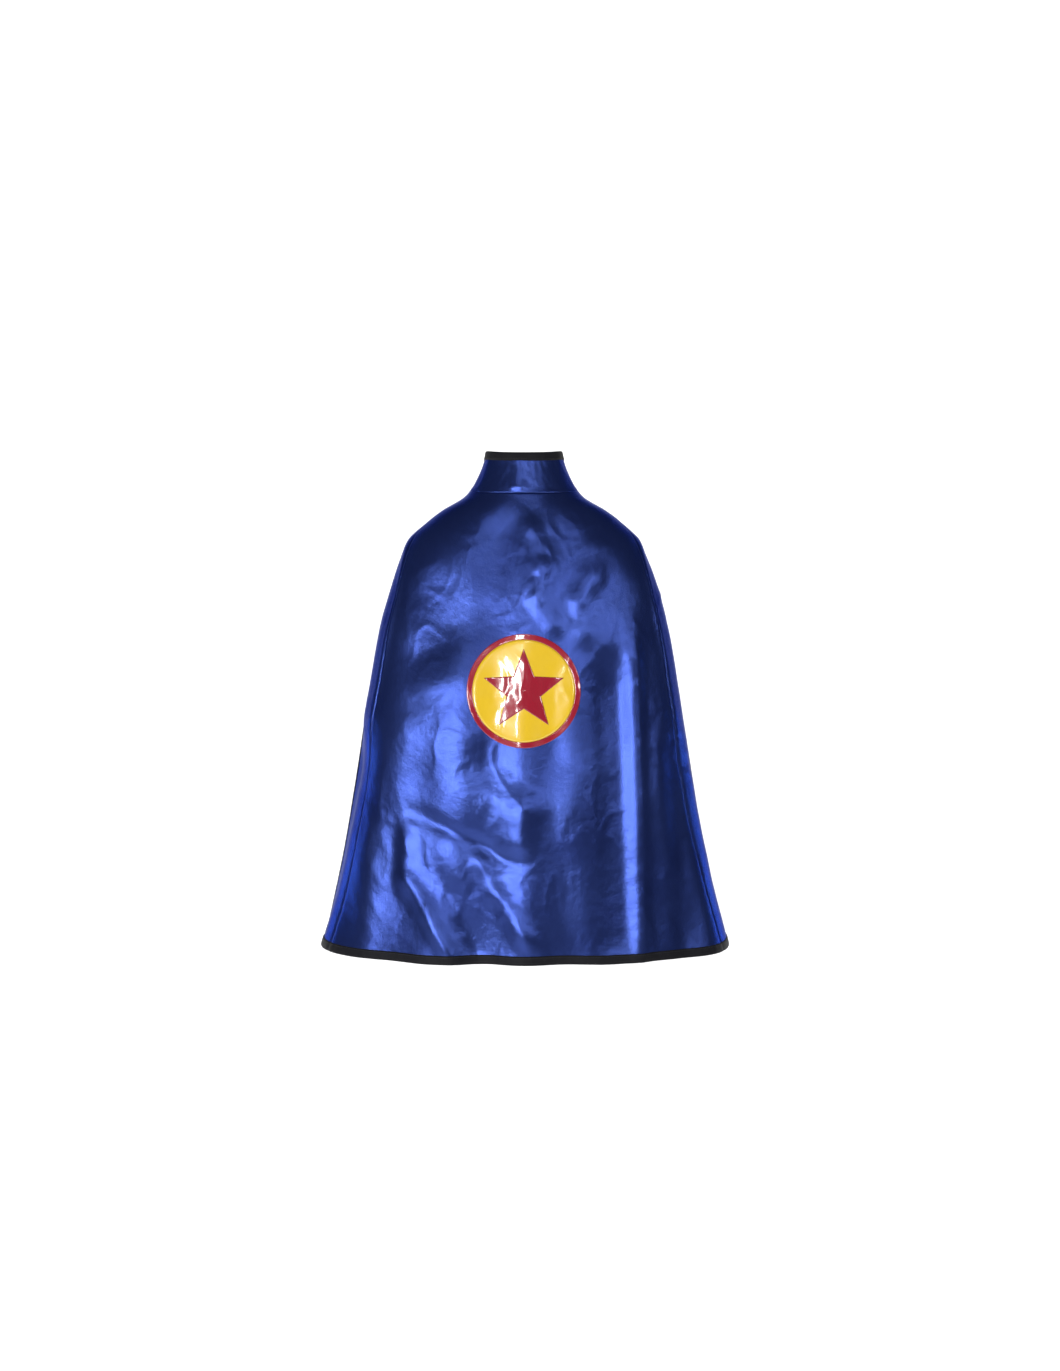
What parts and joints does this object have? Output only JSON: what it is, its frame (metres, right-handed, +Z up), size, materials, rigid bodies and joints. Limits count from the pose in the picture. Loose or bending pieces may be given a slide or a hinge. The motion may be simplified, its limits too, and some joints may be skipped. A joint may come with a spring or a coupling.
{
  "type": "costume cape",
  "caption": "Child's shiny blue costume cape with a stand collar, black bound edges, side panels, a round star badge on the back and a front closure tab.",
  "frame": {"origin": "middle of the neck opening, level with the collar seam at the sides of the neck", "axes": "+Z up along the neck, +Y the way the wearer faces, so the cape's back faces -Y, and +X to the wearer's right"},
  "size_m": [0.539, 0.2264, 0.6643],
  "materials": {
    "blue_satin": "glossy polyester satin, deep royal blue",
    "black_lining": "plain black satin lining",
    "stiffener": "non-woven interfacing",
    "black_binding": "folded black bias binding",
    "white_label": "white satin ribbon, blank",
    "black_loop": "brushed nylon loop",
    "black_hook": "moulded nylon hooks",
    "yellow_vinyl": "glossy heat-pressed vinyl",
    "red_foil": "glossy foil-backed vinyl"
  },
  "bodies": {
    "collar": {"collar_outer": "blue_satin", "collar_interfacing": "stiffener", "collar_lining": "black_lining", "collar_binding": "black_binding", "care_label": "white_label", "loop_patch": "black_loop"},
    "closure_tab": {"closure_tab": "black_binding", "hook_patch": "black_hook"},
    "skirt": {"back_panel": "blue_satin", "back_lining": "black_lining", "hem_binding": "black_binding", "badge_rim": "red_foil", "badge_field": "yellow_vinyl", "badge_star": "red_foil", "left_front_panel": "blue_satin", "left_front_lining": "black_lining", "left_edge_binding": "black_binding", "right_front_panel": "blue_satin", "right_front_lining": "black_lining", "right_edge_binding": "black_binding"}
  },
  "joints": [
    {"name": "closure_tab_peel", "type": "hinge", "parent": "collar", "child": "closure_tab", "pos_m": [-0.026, 0.0536, 0.004], "axis": [0, -0.303, 0.953], "range_deg": [0, 120]},
    {"name": "skirt_billow", "type": "hinge", "parent": "collar", "child": "skirt", "pos_m": [0, -0.0585, -0.008], "axis": [-1, 0, 0], "range_deg": [0, 65]}
  ]
}
